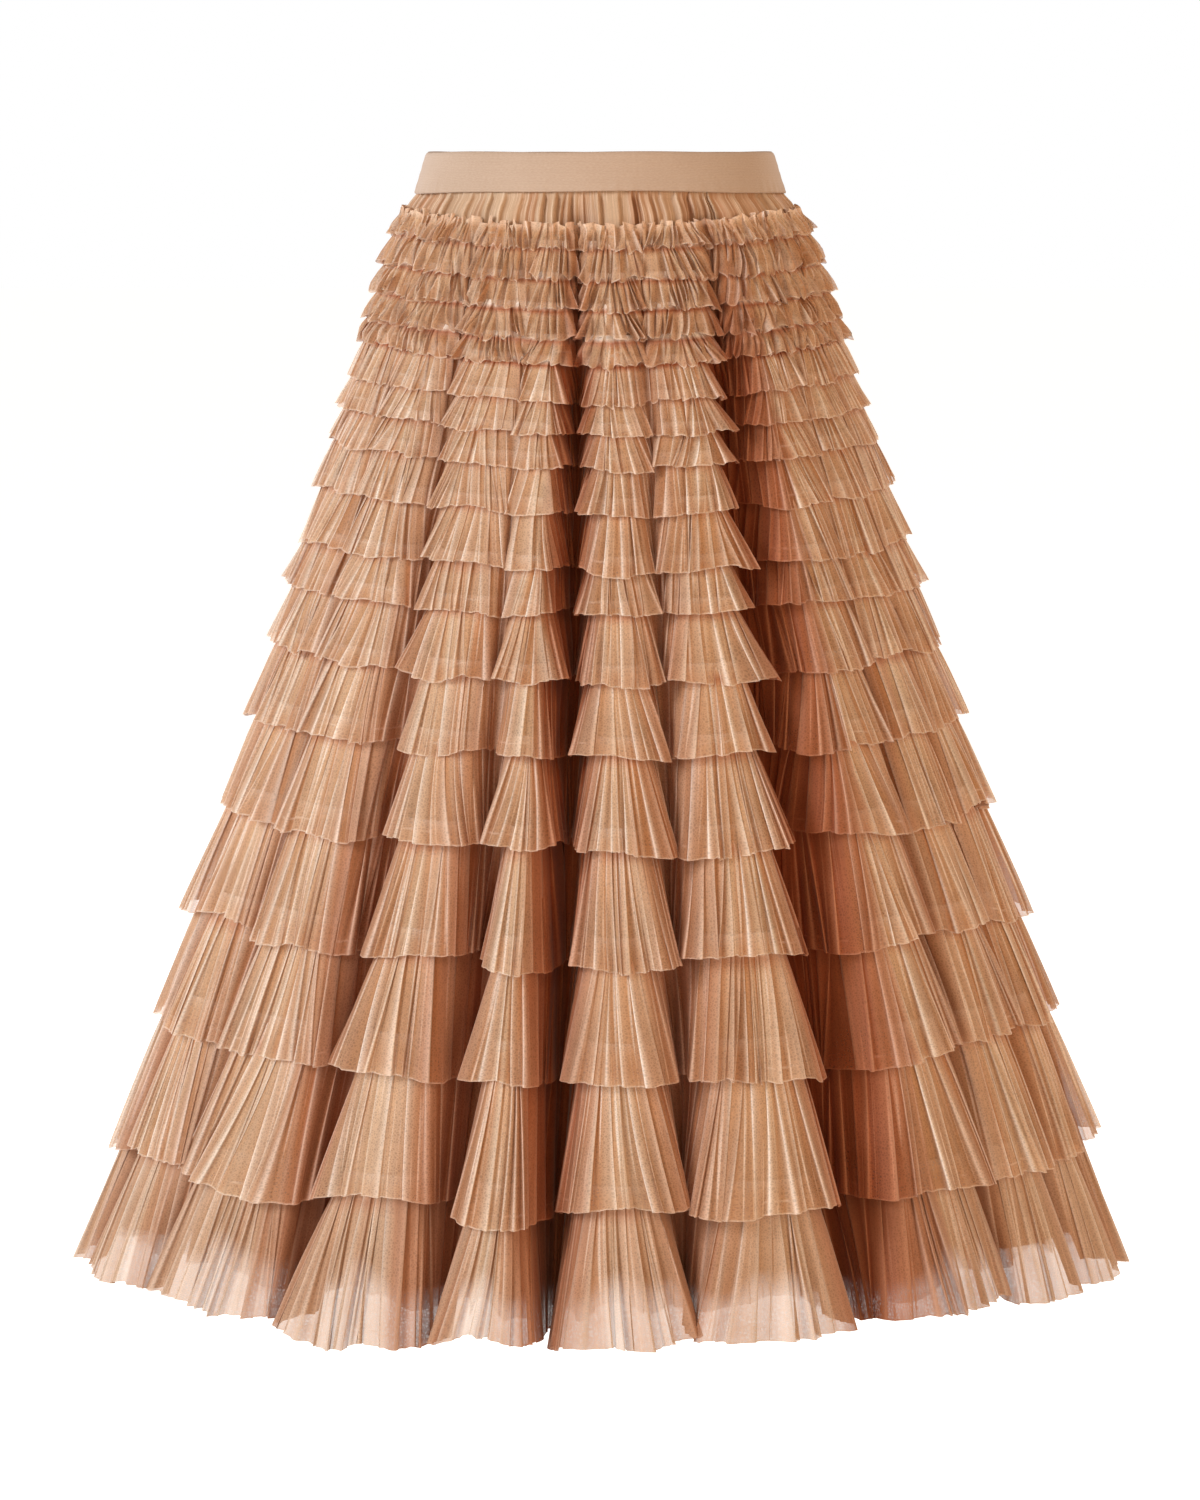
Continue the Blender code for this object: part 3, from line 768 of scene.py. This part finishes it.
waistband = sew_strip("waistband_elastic", band_mesh, points, plain, 0.0 * share, along, run, share)
# the strip's two long edges meet under the tape, where the skin is closed
closing = bmesh.new()
closing.from_mesh(waistband.data)
bmesh.ops.remove_doubles(closing, verts=[v for v in closing.verts if v.is_boundary], dist=0.00002)
bmesh.ops.recalc_face_normals(closing, faces=closing.faces)
closing.to_mesh(waistband.data)
closing.free()
waistband.data.materials.append(elastic)
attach(waistband, "root")
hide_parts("waistband")
print("waistband", len(waistband.data.polygons), "faces")

# %% [markdown]
# ## The base skirt
# A flared width of closer tulle, gathered into the elastic in folds about 9 mm apart.
# The gathers show in the short plain stretch under the band and die away below it. Its
# hem ends a little above the last ruffle's.

# %% Base skirt
BASE_PLEATS = 84
BASE_STEPS = 14        # squares across one gather
BASE_ROWS = 36
BASE_TOP, BASE_HEM = -0.0060, -0.7345
BASE_DEEP = 0.76       # the flat cloth from waist to hem
HEM_SAG = 0.020        # in the folds the hem hangs this much lower than on the crowns

base_random = np.random.default_rng(21)
base_mesh, share, fall = strip_grid(BASE_PLEATS * BASE_STEPS, BASE_ROWS)
drop = np.interp(fall, [0.0, 0.25, 0.80, 1.0], [0.0, 0.06, 0.95, 1.0])     # close rows at both ends
height = BASE_TOP + (BASE_HEM - BASE_TOP) * drop
layout = pleat_layout(base_random, BASE_PLEATS, 0.30)
_, base_places = even_places(lambda p: base_surface(p, np.full_like(p, -0.10))[0])
down = np.clip((-height - 0.010) / 0.06, 0.0, 1.0)           # the gathers die away
place, rise, line, index = pleated(layout, share, down, base_places, 0.0030, 0.0006, 0.8)
tight = np.clip((-height - 0.0141) / 0.002, 0.10, 1.0)       # behind the band they lie flat
height = height - HEM_SAG * fold_hollow_and_shade_at(place, height) * drop
points, outward = base_surface(place, height)
points[:, :2] += outward * (rise * tight)[:, None]
near_hem = np.clip((fall - 0.985) / 0.015, 0.0, 1.0)
points[:, 2] += 0.0015 * ripple(base_random, share, 30, 90) * near_hem
tone = np.clip(0.5 * layout["tone"][index], -1.0, 1.0)
# marks: a faint fold line, painted shade deep in the folds, and each gather's tone
marks = np.stack([line * (0.45 - 0.3 * down), fold_hollow_and_shade_at(place, height), tone], -1)
base_long, across = cut_length(points, share, fall, BASE_ROWS, BASE_ROWS)
to_hem = (1.0 - fall) * BASE_DEEP
above_hem = (BASE_HEM - BASE_TOP) * (drop - 1.0) - 0.003
close = np.clip(above_hem / 0.018 + 0.15 * ripple(base_random, share, 10, 60), 0.0, 1.0)
base = sew_strip("base_skirt_tulle", base_mesh, points, marks, close, across, to_hem, share)
base.data.materials.append(base_tulle)
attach(base, "root")
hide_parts("base_skirt")
print("base hem", round(base_long, 2), "m round")

# %% [markdown]
# ## The ruffles
# Each ruffle repeats one recipe with its own numbers: how many pleats, how high they
# stand at the free edge, and how crumpled the strip is. The first five are short frills
# that twist and crumple; the last seven are deep flounces that fan out over each crown.

# %% Ruffle numbers
# pleat width mm, rows, pleat height m, crumple m, edge wave m, twist of the edge m
LOOKS = [
    (4.8, 8, 0.0008, 0.0020, 0.0007, 0.0010), (4.8, 8, 0.0008, 0.0023, 0.0008, 0.0012),
    (5.0, 8, 0.0009, 0.0023, 0.0008, 0.0012), (5.0, 8, 0.0009, 0.0023, 0.0008, 0.0011),
    (5.2, 8, 0.0010, 0.0020, 0.0008, 0.0009), (5.2, 9, 0.0016, 0.0006, 0.0007, 0.0005),
    (5.6, 9, 0.0016, 0.0005, 0.0009, 0.0004), (6.0, 9, 0.0016, 0.0005, 0.0010, 0.0003),
    (6.4, 10, 0.0017, 0.0004, 0.0011, 0.0), (6.8, 10, 0.0018, 0.0004, 0.0012, 0.0),
    (7.4, 10, 0.0019, 0.0004, 0.0012, 0.0), (8.2, 10, 0.0020, 0.0004, 0.0013, 0.0),
    (8.8, 11, 0.0021, 0.0004, 0.0014, 0.0), (9.3, 11, 0.0022, 0.0004, 0.0015, 0.0),
    (9.8, 11, 0.0023, 0.0004, 0.0016, 0.0), (10.3, 11, 0.0024, 0.0004, 0.0017, 0.0),
    (10.8, 12, 0.0025, 0.0004, 0.0018, 0.0), (11.2, 12, 0.0025, 0.0004, 0.0019, 0.0),
]
HEADING = 0.0022       # the first ruffle's top edge stands out as a small frill
PUFF = 0.0018          # how far the frills puff in and out at the free edge
SHORT, EVEN = 6, 8     # the last ruffle with a thin shadow at its seam, and with even pleats
HANG = 0.050           # how much lower or higher a fan hangs, as a share of the ruffle
print("pleats", LOOKS[0][0], "mm wide at the waist and", LOOKS[-1][0], "mm at the hem")

# %% One ruffle
def make_ruffle(number):
    """Gather, shape, colour and declare one ruffle, counted from the waist."""
    pleat_mm, rows, pleat_high, crumple, waviness, twist = LOOKS[number - 1]
    seam, edge, droop, flare, wave = RUFFLES[number - 1]
    random = np.random.default_rng(100 + number)
    edge_long, places = even_places(lambda p: ruffle_surface(number, p, np.ones_like(p))[0])
    count = int(edge_long * 1000 / pleat_mm)
    mesh, share, fall = strip_grid(count * PLEAT_STEPS, rows)
    layout = pleat_layout(random, count, 0.45 if number <= EVEN else 0.7)
    place, rise, line, index = pleated(layout, share, fall, places, 0.0006, pleat_high)
    # neighbouring pleats lean and crowd together
    lean = 0.05 * ripple(random, share, 20, 60) + 0.06 * ripple(random, share, 80, 150)
    place = place + lean * (fall - 0.5)
    place = place + 0.13 * ripple(random, share, 4, 14) * fall
    points, outward = ruffle_surface(number, place, fall)
    # groups of pleats puff out, the cloth crumples and its edge curls
    puff = pleat_high * 0.8 * fall ** 1.3 if number > FRILLS else PUFF * fall
    group = ripple(random, share, 50, 150) * puff
    seam_crumple = ripple(random, share, 100, 260) * np.cos(2.4 * fall)
    edge_crumple = ripple(random, share, 100, 260) * np.sin(2.4 * fall)
    rough = crumple * (seam_crumple + edge_crumple) * np.clip(0.3 + 2.0 * fall, 0.0, 1.0)
    curl = twist * ripple(random, share, 90, 200, 11) * fall ** 1.3
    hug = hug_at(place)
    points[:, :2] += outward * lie_between((rise + group) * hug + rough + curl, fall, hug)[:, None]
    # the free edge waves, and each fan hangs a little higher or lower
    long_wave = 0.8 * ripple(random, share, 8, 40)
    short_wave = 0.2 * ripple(random, share, 60, 140)
    points[:, 2] += waviness * fall ** 2 * (long_wave + short_wave)
    points[:, 2] += 1.1 * twist * ripple(random, share, 110, 240, 11) * fall ** 1.5
    points[:, 2] += 0.3 * waviness * layout["tone"][index] * fall ** 2
    hang = HANG * (seam - edge) * np.clip(random.normal(0.0, 1.0, GUIDES // 2), -1.2, 1.2)
    every_other = np.arange(GUIDES // 2 + 1) * 2.0
    points[:, 2] += np.interp(np.mod(place, GUIDES), every_other, [*hang, hang[0]]) * fall
    if number == 1:
        # the strip's top edge stands out above its seam
        heading = np.clip((0.3 - fall) / 0.3, 0.0, 1.0)
        stand = HEADING * heading * (1.0 + 0.5 * ripple(random, share, 90, 170))
        points[:, :2] += outward * stand[:, None]
        points[:, 2] += 0.0014 * heading * ripple(random, share, 20, 120)
    # for the material: the doubled seam, painted shade under the edge above and deep in the folds, and the
    # pleats' tone
    near_seam = np.clip((0.006 - fall * (seam - edge)) / 0.003, 0.0, 1.0)
    line = line * (1.0 - 0.15 * fall) * (1.0 if number > FRILLS else 0.6)
    line = np.maximum(line, (0.2 if number == 1 else 0.8) * near_seam)
    height = seam + (edge - seam) * fall
    above = RUFFLES[number - 2][1] if number > 1 else seam + 0.01      # the edge that shades it
    shadow_wide, shadow_dark = (0.0035, 0.95) if number <= SHORT else (0.006, 0.6)
    under = np.clip(1.0 - np.abs(height - above) / shadow_wide, 0.0, 1.0)
    # painted shade: darker deep in the folds and in a band under the edge above
    painted_shade = np.maximum(fold_hollow_and_shade_at(place, height), shadow_dark * under)
    tone = np.clip(0.65 * layout["tone"][index], -1.0, 1.0)
    marks = np.stack([line, painted_shade, tone], -1)
    # the flat strip: its slope makes it a little deeper than it hangs
    cloth_long, across = cut_length(points, share, fall, rows)
    cut = (cloth_long, (seam - edge) * 1.04)
    gather = (1.0 - fall) ** 1.6
    down = (1.0 - fall) * cut[1]
    piece = sew_strip("ruffle_%02d_tulle" % number, mesh, points, marks, gather, across, down, share)
    piece.data.materials.append(hem_tulle if number == RUFFLE_COUNT else ruffle_tulle)
    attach(piece, "root")
    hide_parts("ruffle_%02d" % number)
    faces = piece.data.polygons
    area_share = sum(p.area for p in faces) / cut[0] / cut[1]
    print("ruffle", number, count, "pleats", len(faces), "faces, share of cut", round(area_share, 2))
    return piece

# %% All the ruffles
ruffles = [make_ruffle(number) for number in range(1, RUFFLE_COUNT + 1)]
faces = sum(len(o.data.polygons) for o in [waistband, base, *ruffles])
print("faces in all", faces)

# %% [markdown]
# ## Sizes
# The finished skirt may stand a little proud of its solids, whose box is printed here.

# %% Print the solids' box and finish
print("solid", [tuple(round(v, 3) for v in c) for c in cad_box])
